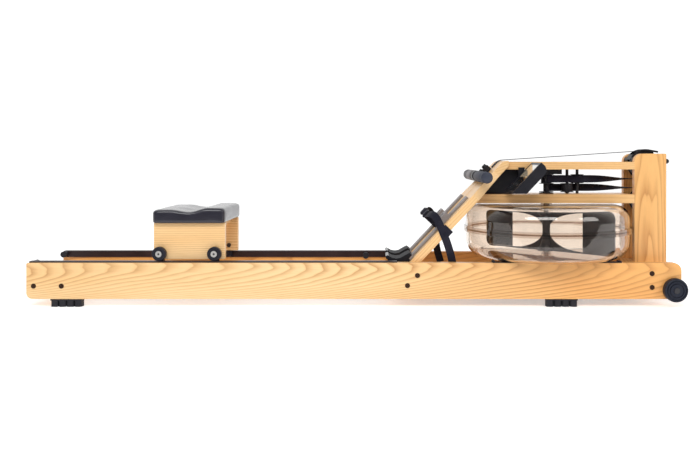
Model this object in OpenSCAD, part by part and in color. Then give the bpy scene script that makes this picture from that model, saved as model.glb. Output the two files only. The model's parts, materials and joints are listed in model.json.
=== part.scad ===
// Water-resistance rowing machine with a wooden frame.
// X runs from the seat end (-) to the tank end (+), Z is up, the floor is z = 0, and
// X = 0 is the middle of the length. "left" nodes are on the -Y side.

/* [Frame] */
// overall length of the machine, over the transport wheels
total_l = 2090; // [1900:1:2300]
// width over the outer faces of the two rails
rails_w = 330; // [280:1:380]
// thickness of a rail, a plank on edge
rail_t = 30; // [20:1:40]
// height of a rail
rail_h = 114; // [90:1:140]
// height of the rubber feet under the rails
foot_h = 25; // [15:1:40]
// length of a rubber foot
foot_l = 100; // [60:1:140]
// height of the running surface of the track over the rail
track_t = 4; // [2:0.5:8]
// height of the track's lip on the rail's inner face
track_lip = 22; // [12:1:30]

/* [Seat] */
// length of the seat carriage, along the rails
seat_l = 228; // [180:1:280]
// width of the seat pad, across the rails
pad_w = 302; // [240:1:340]
// height of the seat pad's underside over the floor
pad_z = 263; // [220:1:300]
// middle of the seat carriage, from the middle of the machine
seat_x = -536; // [-900:1:-100]
// radius of a seat wheel
seat_wheel_r = 22.5; // [15:0.5:30]
// distance between the seat's two axles
seat_axle_gap = 176; // [120:1:200]

/* [Footboard] */
// slope of the footboard, in degrees from the floor
board_a = 46.7; // [40:0.1:55]
// thickness of the footboard
board_t = 25.5; // [18:0.5:35]
// where the footboard's upper face crosses board_z
board_x = 169.3; // [100:0.1:250]
// a little under the top of the rails
board_z = 134.9; // [100:0.1:150]
// distance between the middles of the two heel rests
heel_gap = 140; // [110:1:170]
// length of the sliding strip of a heel rest
strip_l = 276; // [200:1:320]

/* [Tank] */
// middle of the tank, from the middle of the machine
tank_x = 638; // [550:1:700]
// radius of the tank's side wall
tank_r = 271; // [220:1:280]
// radius of the flange where the two halves meet
flange_r = 276; // [230:0.5:290]
// underside of the tank over the floor
tank_z = 141; // [139:1:160]
// height of the tank
tank_h = 177; // [150:1:200]
// wall thickness of the tank
wall = 5; // [3:0.5:8]
// turn of the impeller about its shaft
impeller_a = -45; // [-180:1:180]

/* [Tower and decks] */
// half the width of the tower, the decks and the uprights
deck_hw = 69; // [55:1:90]
// underside of the lower deck
lower_z = 323; // [320:1:340]
// thickness of the lower deck
lower_t = 29; // [18:1:35]
// underside of the upper deck
upper_z = 434; // [420:1:450]
// thickness of the upper deck
upper_t = 25; // [18:1:35]
// rear edge of the tower
tower_x0 = 913.5; // [880:0.5:950]
// front edge of the tower
tower_x1 = 1018; // [1000:1:1030]
// top of the tower
tower_z = 486; // [460:1:510]

/* [Drive] */
// width of the webbing straps
strap_w = 25; // [15:1:40]
// thickness of the webbing
strap_t = 2; // [1:0.5:3]
// radius of the drive strap's middle on the top pulley
top_r = 47; // [35:1:55]
// radius of the recoil strap's middle on the lower pulley
lower_r = 42; // [30:1:50]
// radius of the drum that the drive strap winds on
drum_r = 18; // [12:1:25]
// radius of the handle's grips
grip_r = 18; // [14:1:22]
// length of the handle
handle_l = 500; // [380:1:530]

/* [Transport wheels] */
// radius of a transport wheel
roll_r = 37.5; // [25:0.5:45]
// width of a transport wheel
roll_w = 24.5; // [15:0.5:35]

/* [Shown part] */
// one node's name, or all

/* [Hidden] */
$fn = 96;
eps = 0.01;
run = 0.05;                       // radial clearance of a running or press fit
gap = 0.3;                        // clearance between things that pass each other
half_l = total_l / 2;
rail_y1 = rails_w / 2;            // outer face of a rail
rail_y0 = rail_y1 - rail_t;       // inner face
rail_z0 = foot_h;
rail_z1 = rail_z0 + rail_h;
rail_x0 = -half_l;
rail_x1 = half_l - 14;
track_z = rail_z1 + track_t;      // the seat wheels run here
lip_y = rail_y0 - 6;              // inner face of the track's lip
track_x0 = -half_l + 4;
track_x1 = 130;
// bolts through each rail: [x, z]
rear_bolts = [[-1022, 66], [-934, 66]];
board_bolts = [[194.6, 99.3], [163, 67.5]];
front_bolts = [[938, 105.6], [938, 61.9]];
bolt_r = 4;
head_r = 8;
head_t = 4;
roll_x = half_l - roll_r;
roll_z = 55;
roll_axle_r = 5;
// seat
axle_x = [seat_x - 93, seat_x - 93 + seat_axle_gap];
axle_z = track_z + gap + seat_wheel_r;
axle_r = 4;
side_y1 = 131;                    // outer face of the seat's side panels
side_y0 = 111;
side_z = track_z + 4;
wheel_y0 = 135;
wheel_y1 = 153;
guide_r = 10.5;
guide_y = lip_y - gap - guide_r;
guide_z = [128, 146.5];
stop_r = 10.6;
pad_front = 311 - pad_z;          // height of the pad's front, rear and dip
pad_rear = 305.5 - pad_z;
pad_dip = 298.5 - pad_z;
// footboard
u = [cos(board_a), 0, sin(board_a)];           // up the slope
up = [-sin(board_a), 0, cos(board_a)];         // out of the upper face
top_z = upper_z + upper_t + 3;                 // top of the board
nose_r = 32;                                   // rounding of the board's top
nose_f = (top_z - nose_r + nose_r * up[2] - board_z) / u[2];
nose_c = [board_x, 0, board_z] + nose_f * u - nose_r * up;
board_end = nose_c[0] + 6;
heel_y = heel_gap / 2;
strip_w = 44;
strip_t = 6.5;
// tank
tank_top = tank_z + tank_h;
seam_z = tank_z + 94;
flange_t = 9;
foot_corner = 59;
shoulder = 49;
shaft_r = 8;
blade_r = 250;
blade_z = [158, 302];
// drive
pulley_x = 965;
top_pz = 449;
lower_pz = 330;
front_px = pulley_x + lower_r - 22;
front_pz = 56;
front_r = 22;
pin_r = 6;
post_r = 5;
post_upper_x = 742;
post_lower_x = 708;
bobbin_r = 19;
recoil_drum_r = 10;
drive_z = top_pz - top_r;         // middle of the drive strap at the drum
recoil_z = lower_pz + lower_r;
side_off = drum_r + gap + strap_t / 2;
recoil_off = recoil_drum_r + gap + strap_t / 2;
bobbin_off = bobbin_r + gap + strap_t / 2;
handle_s = 361.9;                 // the handle along the board
handle_n = grip_r + 0.8;          // and off its face
handle_c = [board_x, 0, board_z] + handle_s * u + handle_n * up;
strap_s0 = 417;                   // the drive strap starts here on the board
// monitor
mon_c = [541, 400];               // middle of the monitor, which is its hinge too
mon_l = 132;
mon_n = [-19, 15];                // its back and its face, off the hinge
mon_z = 361;                      // its flat underside
mon_y = [-222, -77.5];
oak = [0.88, 0.68, 0.4];
dark = [0.12, 0.12, 0.14];

// ---------- helpers ----------

// a 2D outline in X and Z, given thickness from y0 to y1
module xz(y0, y1) {
  translate([0, y1, 0]) rotate([90, 0, 0]) linear_extrude(y1 - y0) children();
}

// a 2D outline in Y and Z, given length from x0 to x1
module yz(x0, x1) {
  translate([x0, 0, 0]) rotate([90, 0, 90]) linear_extrude(x1 - x0) children();
}

// a round bar along Y
module bar_y(x, z, y0, y1, r) {
  translate([x, y0, z]) rotate([-90, 0, 0]) cylinder(r = r, h = y1 - y0);
}

// a block from one corner to the opposite one
module block(a, b) {
  translate(a) cube(b - a);
}

// what is cut from a square corner at (x, y) to round it; sx and sy point outward
module corner(x, y, sx, sy, r) {
  translate([x - sx * r, y - sy * r]) difference() {
    translate([min(0, sx * (r + 1)), min(0, sy * (r + 1))]) square(r + 1);
    circle(r);
  }
}

// a rectangle with its own radius at each corner: [left low, right low, right high, left high]
module rounded(x0, y0, x1, y1, r) {
  difference() {
    translate([x0, y0]) square([x1 - x0, y1 - y0]);
    if (r[0] > 0) corner(x0, y0, -1, -1, r[0]);
    if (r[1] > 0) corner(x1, y0, 1, -1, r[1]);
    if (r[2] > 0) corner(x1, y1, 1, 1, r[2]);
    if (r[3] > 0) corner(x0, y1, -1, 1, r[3]);
  }
}

// places children on the footboard: X up the slope, Z out of the upper face
module on_board() {
  translate([board_x, 0, board_z]) rotate([0, -board_a, 0]) children();
}

// the point s up the slope and n out of the face
function board_pt(s, n, y) = [board_x, y, board_z] + s * u + n * up;

// a mirrored pair on both sides
module both() {
  children();
  mirror([0, 1, 0]) children();
}

module side(sy) {
  if (sy < 0) children();
  else mirror([0, 1, 0]) children();
}

function unit(v) = v / norm(v);
function tangent(p, i) = unit(p[min(i + 1, len(p) - 1)] - p[max(i - 1, 0)]);

// flat webbing along the points p, its width along the directions w
module ribbon(p, w, width, thick) {
  n = len(p);
  pts = [for (i = [0 : n - 1])
    let (b = unit(w[i]), c = unit(cross(tangent(p, i), b)) * thick / 2, a = b * width / 2)
    each [p[i] - a - c, p[i] + a - c, p[i] + a + c, p[i] - a + c]];
  faces = concat(
    [[0, 1, 2, 3]],
    [for (i = [0 : n - 2], k = [0 : 3])
      [4 * i + k, 4 * i + 4 + k, 4 * i + 4 + (k + 1) % 4, 4 * i + (k + 1) % 4]],
    [[4 * n - 1, 4 * n - 2, 4 * n - 3, 4 * n - 4]]);
  polyhedron(points = pts, faces = [for (f = faces) each [[f[0], f[1], f[2]], [f[0], f[2], f[3]]]]);
}

// points of an arc in the XZ plane
function arc_xz(cx, cz, r, a0, a1, n) =
  [for (i = [0 : n]) let (a = a0 + (a1 - a0) * i / n) [cx + r * cos(a), 0, cz + r * sin(a)]];

function smooth(t) = t * t * (3 - 2 * t);

// ---------- frame ----------

module rail(sy) color(oak) side(sy) difference() {
  xz(-rail_y1, -rail_y0) rounded(rail_x0, rail_z0, rail_x1, rail_z1, [20, 30, 25, 4]);
  for (b = concat(rear_bolts, board_bolts, front_bolts)) {
    bar_y(b[0], b[1], -rail_y1 - 1, -rail_y0 + 1, bolt_r + run);
    bar_y(b[0], b[1], -rail_y1 - 1, -rail_y1 + head_t, head_r + 0.2);
  }
  bar_y(roll_x, roll_z, -rail_y1 - 1, -rail_y0 + 1, roll_axle_r + run);
}

module rail_left() rail(-1);
module rail_right() rail(1);

module track(sy) color(dark) side(sy) yz(track_x0, track_x1) union() {
  rounded(-wheel_y1, rail_z1, lip_y * -1, track_z, [0, 0, 1.5, 1.5]);
  translate([-rail_y0, track_z - track_lip]) square([rail_y0 - lip_y, track_lip - track_t + eps]);
}

module track_left() track(-1);
module track_right() track(1);

module rear_spacer() color(oak) difference() {
  block([-1040, -rail_y0, 55], [-916, rail_y0, 77]);
  both() for (b = rear_bolts) bar_y(b[0], b[1], -rail_y0 - 1, -rail_y0 + 31, bolt_r + run);
}

module front_spacer() color(oak) difference() {
  block([926, -rail_y0, 45], [952, rail_y0, 128]);
  both() for (b = front_bolts) bar_y(b[0], b[1], -rail_y0 - 1, -rail_y0 + 31, bolt_r + run);
}

// the outline of the footboard's section, in X and Z, with its rounded top
function flat_pt(p) = [p[0], p[2]];
module board_section() polygon(concat(
  [flat_pt(board_pt(-100, 0, 0))],
  [for (i = [0 : 12]) let (a = board_a + 90 - board_a * i / 12)
    [nose_c[0] + nose_r * cos(a), nose_c[2] + nose_r * sin(a)]],
  [[board_end, top_z],
   [board_end, board_z + ((board_end - board_x) * u[2] - board_t) / u[0]],
   flat_pt(board_pt(-100, -board_t, 0))]));

module footboard() color(oak) difference() {
  intersection() {
    xz(-rail_y0, rail_y0) board_section();
    on_board() linear_extrude(200, center = true) polygon([
      [-110, -rail_y0], [300, -rail_y0], [405, -95], [470, -88],
      [470, 88], [405, 95], [300, rail_y0], [-110, rail_y0]]);
  }
  // two shallow grooves along the board beside the heel strips
  on_board() both() block([40, -7, -3], [385, -3, 1]);
}

module footboard_cleat() color(oak) difference() {
  on_board() block([-78, -rail_y0, -board_t - 32], [16, rail_y0, -board_t]);
  both() for (b = board_bolts) bar_y(b[0], b[1], -rail_y0 - 1, -rail_y0 + 31, bolt_r + run);
  bungee_line(4 + run);
}

// the slanted end of a deck against the board's underside
function under_x(z) = board_x + (board_t + (z - board_z) * u[0]) / u[2];

module lower_deck() color(oak) difference() {
  xz(-deck_hw, deck_hw) polygon([
    [under_x(lower_z), lower_z], [tower_x0, lower_z],
    [tower_x0, lower_z + lower_t], [under_x(lower_z + lower_t), lower_z + lower_t]]);
  translate([tank_x, 0, lower_z - 1]) cylinder(r = 20, h = lower_t + 2);
  for (x = [post_upper_x, post_lower_x])
    translate([x, 0, lower_z + lower_t - 12]) cylinder(r = post_r + run, h = 13);
}

module upper_deck() color(oak) difference() {
  xz(-deck_hw, deck_hw) polygon([
    [under_x(upper_z), upper_z], [tower_x0, upper_z], [tower_x0, upper_z + upper_t],
    [board_end, upper_z + upper_t],
    [board_end, board_z + ((board_end - board_x) * u[2] - board_t) / u[0]]]);
  for (x = [post_upper_x, post_lower_x])
    translate([x, 0, upper_z - 1]) cylinder(r = post_r + run, h = 13);
  translate([tank_x, 0, upper_z - 1]) cylinder(r = shaft_r + 1, h = 9);
}

module upright(sy) color(oak) side(sy) difference() {
  xz(-deck_hw, -deck_hw + 22) difference() {
    rounded(tower_x0, 40, tower_x1, tower_z, [0, 0, 4, 26]);
    translate([tower_x0 - 1, 39]) square([952 - tower_x0 + 1, 128 - 39]);
  }
  for (p = [[pulley_x, top_pz], [pulley_x, lower_pz], [front_px, front_pz]])
    bar_y(p[0], p[1], -deck_hw + 10, -deck_hw + 23, pin_r + run);
}

module upright_left() upright(-1);
module upright_right() upright(1);

module rubber_feet() color(dark) both() for (x = [-969, 602.7]) {
  block([x, -rail_y1, foot_h - 5], [x + foot_l, -rail_y0, foot_h]);
  for (i = [0 : 3])
    translate([x + foot_l * (i + 0.5) / 4, -(rail_y0 + rail_y1) / 2, 0])
      linear_extrude(foot_h - 5 + eps)
        rounded(-foot_l / 8 + 0.6, -14.5, foot_l / 8 - 0.6, 14.5, [8, 8, 8, 8]);
}

// one bolt through a rail, its head in the outer face
module rail_bolt(x, z) {
  bar_y(x, z, -rail_y1 - 0.8, -rail_y1 + head_t, head_r);
  bar_y(x, z, -rail_y1 + head_t - eps, -rail_y0 + 30, bolt_r);
}

module frame_bolts() color([0.3, 0.22, 0.16]) both()
  for (b = concat(rear_bolts, board_bolts, front_bolts)) difference() {
    rail_bolt(b[0], b[1]);
    translate([b[0], -rail_y1 - 2, b[1]]) rotate([-90, 0, 0]) cylinder(r = 3, h = 3.5, $fn = 6);
  }

module seat_stops() color(dark) both() {
  bar_y(-half_l + 11, track_z - stop_r, -lip_y, -lip_y + 22, stop_r);
  bar_y(27.8, track_z - stop_r - 4, -lip_y, -lip_y + 22, stop_r);
}

module storage_bumpers() color(dark) both()
  translate([tower_x1, -58, 461]) rotate([0, 90, 0]) {
    cylinder(r = 8, h = 7);
    translate([0, 0, 7 - eps]) cylinder(r1 = 8, r2 = 4.5, h = 4.5);
  }

// ---------- tank ----------

module tank_lower_shell() color([0.8, 0.72, 0.6, 0.4]) translate([tank_x, 0, 0]) {
  rotate_extrude() difference() {
    union() {
      rounded(0, tank_z, tank_r, seam_z, [0, foot_corner, 0, 0]);
      translate([tank_r - 8, seam_z - flange_t]) square([flange_r - tank_r + 8, flange_t]);
    }
    difference() {
      translate([-eps, tank_z + wall]) square([tank_r - wall + eps, seam_z]);
      corner(tank_r - wall, tank_z + wall, 1, -1, foot_corner - wall);
      translate([-eps, tank_z]) square([16 + eps, 16]);
    }
    translate([-eps, tank_z + 6]) square([shaft_r + run + eps, 20]);
  }
}

module tank_upper_shell() color([0.8, 0.72, 0.6, 0.4]) translate([tank_x, 0, 0]) {
  rotate_extrude() difference() {
    union() {
      rounded(0, seam_z, tank_r, tank_top, [0, 0, shoulder, 0]);
      translate([tank_r - 8, seam_z]) square([flange_r - tank_r + 8, flange_t]);
      translate([0, tank_top - eps]) square([18, lower_z - tank_top + eps]);
    }
    difference() {
      translate([-eps, seam_z - 1]) square([tank_r - wall + eps, tank_h - 94 - wall + 1]);
      corner(tank_r - wall, tank_top - wall, 1, 1, shoulder - wall);
      translate([-eps, tank_top - 10]) square([18 + eps, 12]);
    }
    translate([-eps, seam_z]) square([shaft_r + run + eps, 120]);
  }
}

module tank_pads() color(dark) both() for (sx = [-1, 1]) translate([tank_x, 0, 0]) {
  block([min(sx * 120, sx * 205), -rail_y1 + 1, rail_z1],
        [max(sx * 120, sx * 205), -rail_y0, tank_z]);
  block([min(sx * 196, sx * 205), -rail_y1 + 1, tank_z - eps],
        [max(sx * 196, sx * 205), -rail_y0, tank_z + 4]);
}

module impeller() color([0.2, 0.19, 0.2]) translate([tank_x, 0, 0]) rotate([0, 0, impeller_a])
  difference() {
    union() {
      xz(-3, 3) difference() {
        rounded(-blade_r, blade_z[0], blade_r, blade_z[1], [25, 25, 25, 25]);
        for (m = [0, 1]) mirror([m, 0])
          polygon([for (t = [90 : 9 : 270]) [139 + 130 * cos(t), 230 + 67 * sin(t)]]);
      }
      rotate_extrude() polygon([
        [0, 158], [30, 158], [27, 166], [19, 180], [14, 198], [12.5, 230],
        [14, 262], [19, 280], [27, 294], [30, 302], [0, 302]]);
    }
    translate([0, 0, 150]) cylinder(r = shaft_r, h = 160);
  }

module impeller_shaft() color([0.7, 0.7, 0.72]) translate([tank_x, 0, tank_z + 7])
  cylinder(r = shaft_r, h = upper_z - 2 - tank_z - 7);

// ---------- drive ----------

// a pulley for webbing about Y, its groove r at radius
module web_pulley(x, z, r, hub) translate([x, 0, z]) rotate([90, 0, 0]) difference() {
  union() {
    cylinder(r = r - gap - strap_t / 2, h = 34, center = true);
    for (m = [0, 1]) mirror([0, 0, m]) translate([0, 0, 14]) cylinder(r = r + 1.7, h = 3);
    cylinder(r = pin_r + 5, h = 2 * hub, center = true);
  }
  cylinder(r = pin_r + run, h = 100, center = true);
  for (m = [0, 1]) mirror([0, 0, m]) translate([0, 0, 6]) difference() {
    cylinder(r = r - 8, h = 20);
    cylinder(r = pin_r + 5, h = 20);
  }
}

module top_pulley() color(dark) web_pulley(pulley_x, top_pz, top_r, 46.5);
module lower_pulley() color(dark) web_pulley(pulley_x, lower_pz, lower_r, 46.5);
module front_pulley() color(dark) web_pulley(front_px, front_pz, front_r, 46.5);

module bobbin(x, z) translate([x, 0, z]) difference() {
  union() {
    cylinder(r = bobbin_r, h = 27, center = true);
    for (m = [0, 1]) mirror([0, 0, m]) translate([0, 0, 13]) cylinder(r = bobbin_r + 3, h = 1.6);
  }
  cylinder(r = post_r + run, h = 40, center = true);
  for (m = [0, 1]) mirror([0, 0, m]) translate([0, 0, 9]) difference() {
    cylinder(r = bobbin_r - 4, h = 10);
    cylinder(r = post_r + 4, h = 10);
  }
}

module bobbin_upper() color(dark) bobbin(post_upper_x, drive_z);
module bobbin_lower() color(dark) bobbin(post_lower_x, recoil_z);

module spool() color(dark) translate([tank_x, 0, 0]) difference() {
  union() {
    translate([0, 0, recoil_z - 15]) cylinder(r = recoil_drum_r, h = drive_z - recoil_z + 30);
    translate([0, 0, drive_z - 14]) cylinder(r = drum_r, h = 28);
    for (z = [recoil_z - 15, recoil_z + 13.2, drive_z + 13])
      translate([0, 0, z]) cylinder(r = drum_r + 6, h = 2);
  }
  translate([0, 0, recoil_z - 20]) cylinder(r = shaft_r + run, h = 80);
}

module spool_bearings() color([0.16, 0.16, 0.18]) difference() {
  union() {
    block([tank_x - 46, -30, drive_z + 15.5], [tank_x + 46, 30, upper_z]);
    translate([tank_x, 0, lower_z]) cylinder(r = 14, h = lower_t + 3.6);
    translate([tank_x, 0, lower_z + lower_t]) cylinder(r = 24, h = 3);
  }
  translate([tank_x, 0, lower_z - 1]) cylinder(r = shaft_r + run, h = 200);
}

// axles of the three pulleys, the two posts and the two wheel axles
module frame_pins() color([0.55, 0.55, 0.57]) {
  for (p = [[pulley_x, top_pz], [pulley_x, lower_pz], [front_px, front_pz]])
    bar_y(p[0], p[1], -deck_hw + 11, deck_hw - 11, pin_r);
  for (x = [post_upper_x, post_lower_x])
    translate([x, 0, lower_z + lower_t - 11.5])
      cylinder(r = post_r, h = upper_z - lower_z - lower_t + 23);
  for (p = [[post_upper_x, drive_z], [post_lower_x, recoil_z]])
    translate([p[0], 0, p[1] - 17]) cylinder(r = post_r + 3, h = 2);
  both() {
    bar_y(roll_x, roll_z, -rail_y1 - roll_w - 1.3, -rail_y0 + 8, roll_axle_r);
    bar_y(roll_x, roll_z, -rail_y1 - roll_w - 3.3, -rail_y1 - roll_w - 1.2, roll_axle_r + 4);
    translate([roll_x, -rail_y0, roll_z]) rotate([-90, 0, 0])
      cylinder(r = roll_axle_r + 4, h = 6, $fn = 6);
  }
}

// middle line and width directions of the drive strap
strap_n = 1 + strap_t / 2 + 1;
nose_a0 = board_a + 90;
top_dx = pulley_x - nose_c[0];
top_dz = top_pz - nose_c[2];
top_len = norm([top_dx, top_dz]);
top_a = atan2(top_dz, top_dx) + asin((top_r - nose_r - strap_n) / top_len) + 90;
drive_flat = concat(
  [for (s = [strap_s0 : 6 : nose_f - 1]) board_pt(s, strap_n, 0)],
  arc_xz(nose_c[0], nose_c[2], nose_r + strap_n, nose_a0, top_a, 8),
  arc_xz(pulley_x, top_pz, top_r, top_a, -90, 30));
twist_n = 16;
function twist_pts(x0, x1, y1, z) =
  [for (i = [1 : twist_n]) let (t = i / twist_n) [x0 + (x1 - x0) * t, y1 * smooth(t), z]];
function twist_dirs(s) =
  [for (i = [1 : twist_n]) let (a = 90 * smooth(i / twist_n)) [0, cos(a), s * sin(a)]];
drive_pts = concat(
  drive_flat, [[930, 0, drive_z]],
  twist_pts(930, post_upper_x + 4, -bobbin_off, drive_z),
  [[post_upper_x - 4, -bobbin_off, drive_z], [tank_x + 3, -side_off, drive_z],
   [tank_x - 2, -side_off, drive_z]]);
drive_dirs = concat(
  [for (p = drive_flat) [0, 1, 0]], [[0, 1, 0]], twist_dirs(1),
  [for (i = [0 : 2]) [0, 0, 1]]);
recoil_flat = concat(
  [[tank_x - 78, 0, front_pz - front_r], [tank_x + 100, 0, front_pz - front_r]],
  arc_xz(front_px, front_pz, front_r, -90, 0, 10),
  arc_xz(pulley_x, lower_pz, lower_r, 0, 90, 14), [[930, 0, recoil_z]]);
recoil_pts = concat(
  recoil_flat, twist_pts(930, post_upper_x + 4, bobbin_off, recoil_z),
  [[post_lower_x, bobbin_off, recoil_z], [post_lower_x - 6, bobbin_off, recoil_z],
   [tank_x + 3, recoil_off, recoil_z], [tank_x - 2, recoil_off, recoil_z]]);
recoil_dirs = concat(
  [for (p = recoil_flat) [0, 1, 0]], twist_dirs(1), [for (i = [0 : 3]) [0, 0, 1]]);

module drive_strap() color([0.1, 0.1, 0.12]) ribbon(drive_pts, drive_dirs, strap_w, strap_t);

module recoil_strap() color([0.1, 0.1, 0.12])
  ribbon(recoil_pts, recoil_dirs, strap_w, strap_t);

// the line of the stretched cord from the recoil strap to the footboard's cleat
cord_a = [tank_x - 78, 0, front_pz - front_r];
cord_b = board_pt(-50, -board_t - 20, 0);
module bungee_line(r) {
  d = cord_b - cord_a;
  translate(cord_a) rotate([0, atan2(d[0], d[2]), 0]) cylinder(r = r, h = norm(d));
}

module bungee_cord() color(dark) {
  bungee_line(4);
  block(cord_a + [-26, -14, -5], cord_a + [-1, 14, 5]);
}

// the hood over the top pulley; the strap runs in between its two covers
hood_c = [pulley_x, top_pz - 2];
hood_r = 54.5;
hood_tip = [pulley_x + 43, top_pz + 46];

// a ring sector in X and Z about the hood's centre
module hood_arc(a0, a1, r0, r1) {
  n = 12;
  polygon(concat(
    [for (i = [0 : n]) let (a = a0 + (a1 - a0) * i / n) hood_c + r1 * [cos(a), sin(a)]],
    [for (i = [n : -1 : 0]) let (a = a0 + (a1 - a0) * i / n) hood_c + r0 * [cos(a), sin(a)]]));
}

// the hood's flat front lip, d thick
module hood_lip(d) {
  polygon([
    hood_c + [-eps, hood_r], hood_c + [8, hood_r - 0.3], hood_tip, hood_tip - [1, d],
    hood_c + [8, hood_r - d - 0.3], hood_c + [-eps, hood_r - d]]);
}

module pulley_guard() color(dark) union() {
  xz(-23, 23) union() { hood_arc(104, 89.9, hood_r - 2.5, hood_r); hood_lip(2.5); }
  xz(-23, 23) hood_arc(159, 138, hood_r - 2.5, hood_r);
  both() xz(-23, -20) union() { hood_arc(159, 89.9, hood_r - 5, hood_r); hood_lip(6); }
  both() xz(-deck_hw + 22, -20) translate([tower_x0 + 2.5, top_pz + 14]) square([8, 10]);
}

module deck_brace() color(dark) xz(-38, 38) polygon([
  [under_x(lower_z + lower_t), lower_z + lower_t], [under_x(upper_z), upper_z],
  [under_x(upper_z) + 64, upper_z], [under_x(lower_z + lower_t) + 106, lower_z + lower_t]]);

// ---------- handle ----------

module handle_bar() color(oak)
  bar_y(handle_c[0], handle_c[2], -handle_l / 2 + 3, handle_l / 2 - 3, grip_r - 4);

module handle_grips() color([0.35, 0.36, 0.38]) both() difference() {
  union() {
    bar_y(handle_c[0], handle_c[2], -handle_l / 2 + 6, -42, grip_r);
    bar_y(handle_c[0], handle_c[2], -handle_l / 2, -42, grip_r - 5);
    translate([handle_c[0], -handle_l / 2 + 6, handle_c[2]]) rotate([90, 0, 0])
      cylinder(r1 = grip_r, r2 = grip_r - 5, h = 6);
  }
  bar_y(handle_c[0], handle_c[2], -handle_l / 2 + 3, -30, grip_r - 4);
}

module handle_bracket() color(dark) difference() {
  union() {
    bar_y(handle_c[0], handle_c[2], -20, 20, grip_r);
    on_board() block([handle_s + 6, -17, 2], [handle_s + 50, 17, 20]);
    on_board() translate([handle_s + 40, 0, 19.9]) cylinder(r = 8, h = 8);
    on_board() translate([handle_s + 20, 0, 19.9]) cylinder(r = 7, h = 6);
  }
  bar_y(handle_c[0], handle_c[2], -30, 30, grip_r - 4);
}

// ---------- monitor ----------

module at_monitor() {
  translate([mon_c[0], 0, mon_c[1]]) rotate([0, -board_a, 0]) children();
}

module monitor_housing() color(dark) difference() {
  at_monitor() difference() {
    translate([0, mon_y[1], 0]) rotate([90, 0, 0]) linear_extrude(mon_y[1] - mon_y[0])
      rounded(-mon_l / 2, mon_n[0], mon_l / 2, mon_n[1], [0, 22, 3, 3]);
    block([-mon_l / 2 + 10, mon_y[0] + 10, mon_n[1] - 3],
          [mon_l / 2 - 10, mon_y[1] - 10, mon_n[1] + 1]);
    translate([0, mon_y[1] - 10, 0]) rotate([-90, 0, 0]) cylinder(r = 5 + run, h = 20);
  }
  block([mon_c[0] - mon_l, mon_y[0] - 1, mon_z - 60], [mon_c[0] + mon_l, mon_y[1] + 1, mon_z]);
}

module monitor_screen() color([0.2, 0.22, 0.24]) at_monitor()
  block([-mon_l / 2 + 10.1, mon_y[0] + 10.1, mon_n[1] - 3],
        [mon_l / 2 - 10.1, mon_y[1] - 10.1, mon_n[1] - 0.5]);

module monitor_arm() color(dark) union() {
  block([mon_c[0] - 10, -deck_hw - 6, mon_c[1] - 12], [mon_c[0] + 10, -deck_hw, upper_z + 7]);
  bar_y(mon_c[0], mon_c[1], mon_y[1] - 9, -deck_hw - 2, 5);
}

// ---------- transport wheels ----------

module transport_wheel(sy) color([0.1, 0.12, 0.18]) side(sy)
  translate([roll_x, -rail_y1 - 0.5, roll_z]) rotate([90, 0, 0]) difference() {
    rotate_extrude() difference() {
      rounded(roll_axle_r + run, 0, roll_r, roll_w, [0, 4, 6, 0]);
      for (r = [20, 28]) translate([r, roll_w - 3]) square([3.5, 4]);
    }
  }

module transport_wheel_left() transport_wheel(-1);
module transport_wheel_right() transport_wheel(1);

// ---------- seat ----------

seat_x0 = seat_x - seat_l / 2;
seat_x1 = seat_x + seat_l / 2;
pad_x0 = seat_x0 - 3;              // the pad reaches a little past the side panels
pad_x1 = seat_x1 + 3;

module seat_pad() color([0.12, 0.13, 0.2]) translate([0, 0, pad_z]) intersection() {
  xz(-pad_w / 2, pad_w / 2) polygon(concat(
    [[pad_x0 + 3, 0], [pad_x0, 4]],
    [[pad_x0, pad_rear - 6], [pad_x0 + 2, pad_rear - 1.5], [pad_x0 + 7, pad_rear]],
    [for (i = [0 : 16]) let (t = i / 16, x = seat_x0 + 60 + t * (seat_l - 110))
      [x, t < 0.5 ? pad_rear - (pad_rear - pad_dip) * smooth(2 * t)
                  : pad_dip + (pad_front - pad_dip) * smooth(2 * t - 1)]],
    [[pad_x1 - 8, pad_front], [pad_x1 - 2, pad_front - 2], [pad_x1, pad_front - 7],
     [pad_x1, 4], [pad_x1 - 3, 0]]));
  linear_extrude(60) rounded(pad_x0, -pad_w / 2, pad_x1, pad_w / 2, [16, 16, 16, 16]);
}

module seat_base() color(oak)
  block([seat_x0 + 24, -side_y0, pad_z - 16], [seat_x1 - 24, side_y0, pad_z]);

module seat_side(sy) color(oak) side(sy) difference() {
  xz(-side_y1, -side_y0)
    rounded(seat_x0, side_z, seat_x1, pad_z, [2, 2, 2, 2]);
  for (x = axle_x) {
    bar_y(x, axle_z, -side_y1 - 1, -side_y0 + 1, axle_r + run);
    translate([x, -guide_y, side_z - 1]) cylinder(r = 3 + run, h = 12);
  }
}

module seat_side_left() seat_side(-1);
module seat_side_right() seat_side(1);

// the four axle bolts with their nuts, and the four guide pins
module seat_bolts() color([0.7, 0.7, 0.72]) both() for (x = axle_x) {
  difference() {
    union() {
      bar_y(x, axle_z, -wheel_y1 - 2.4, -wheel_y1 - gap, 10);
      bar_y(x, axle_z, -wheel_y1 - gap - eps, -side_y0 + 9, axle_r);
      bar_y(x, axle_z, -wheel_y0 + gap, -side_y1, 7);
      translate([x, -side_y0, axle_z]) rotate([-90, 0, 0]) cylinder(r = 8, h = 7, $fn = 6);
    }
    translate([x, -wheel_y1 - 3, axle_z]) rotate([-90, 0, 0]) cylinder(r = 3.7, h = 4.5, $fn = 6);
  }
  translate([x, -guide_y, guide_z[0] - 1]) cylinder(r = 3, h = side_z - guide_z[0] + 11);
  translate([x, -guide_y, guide_z[0] - 4]) cylinder(r = 6, h = 3.7);
}

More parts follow.
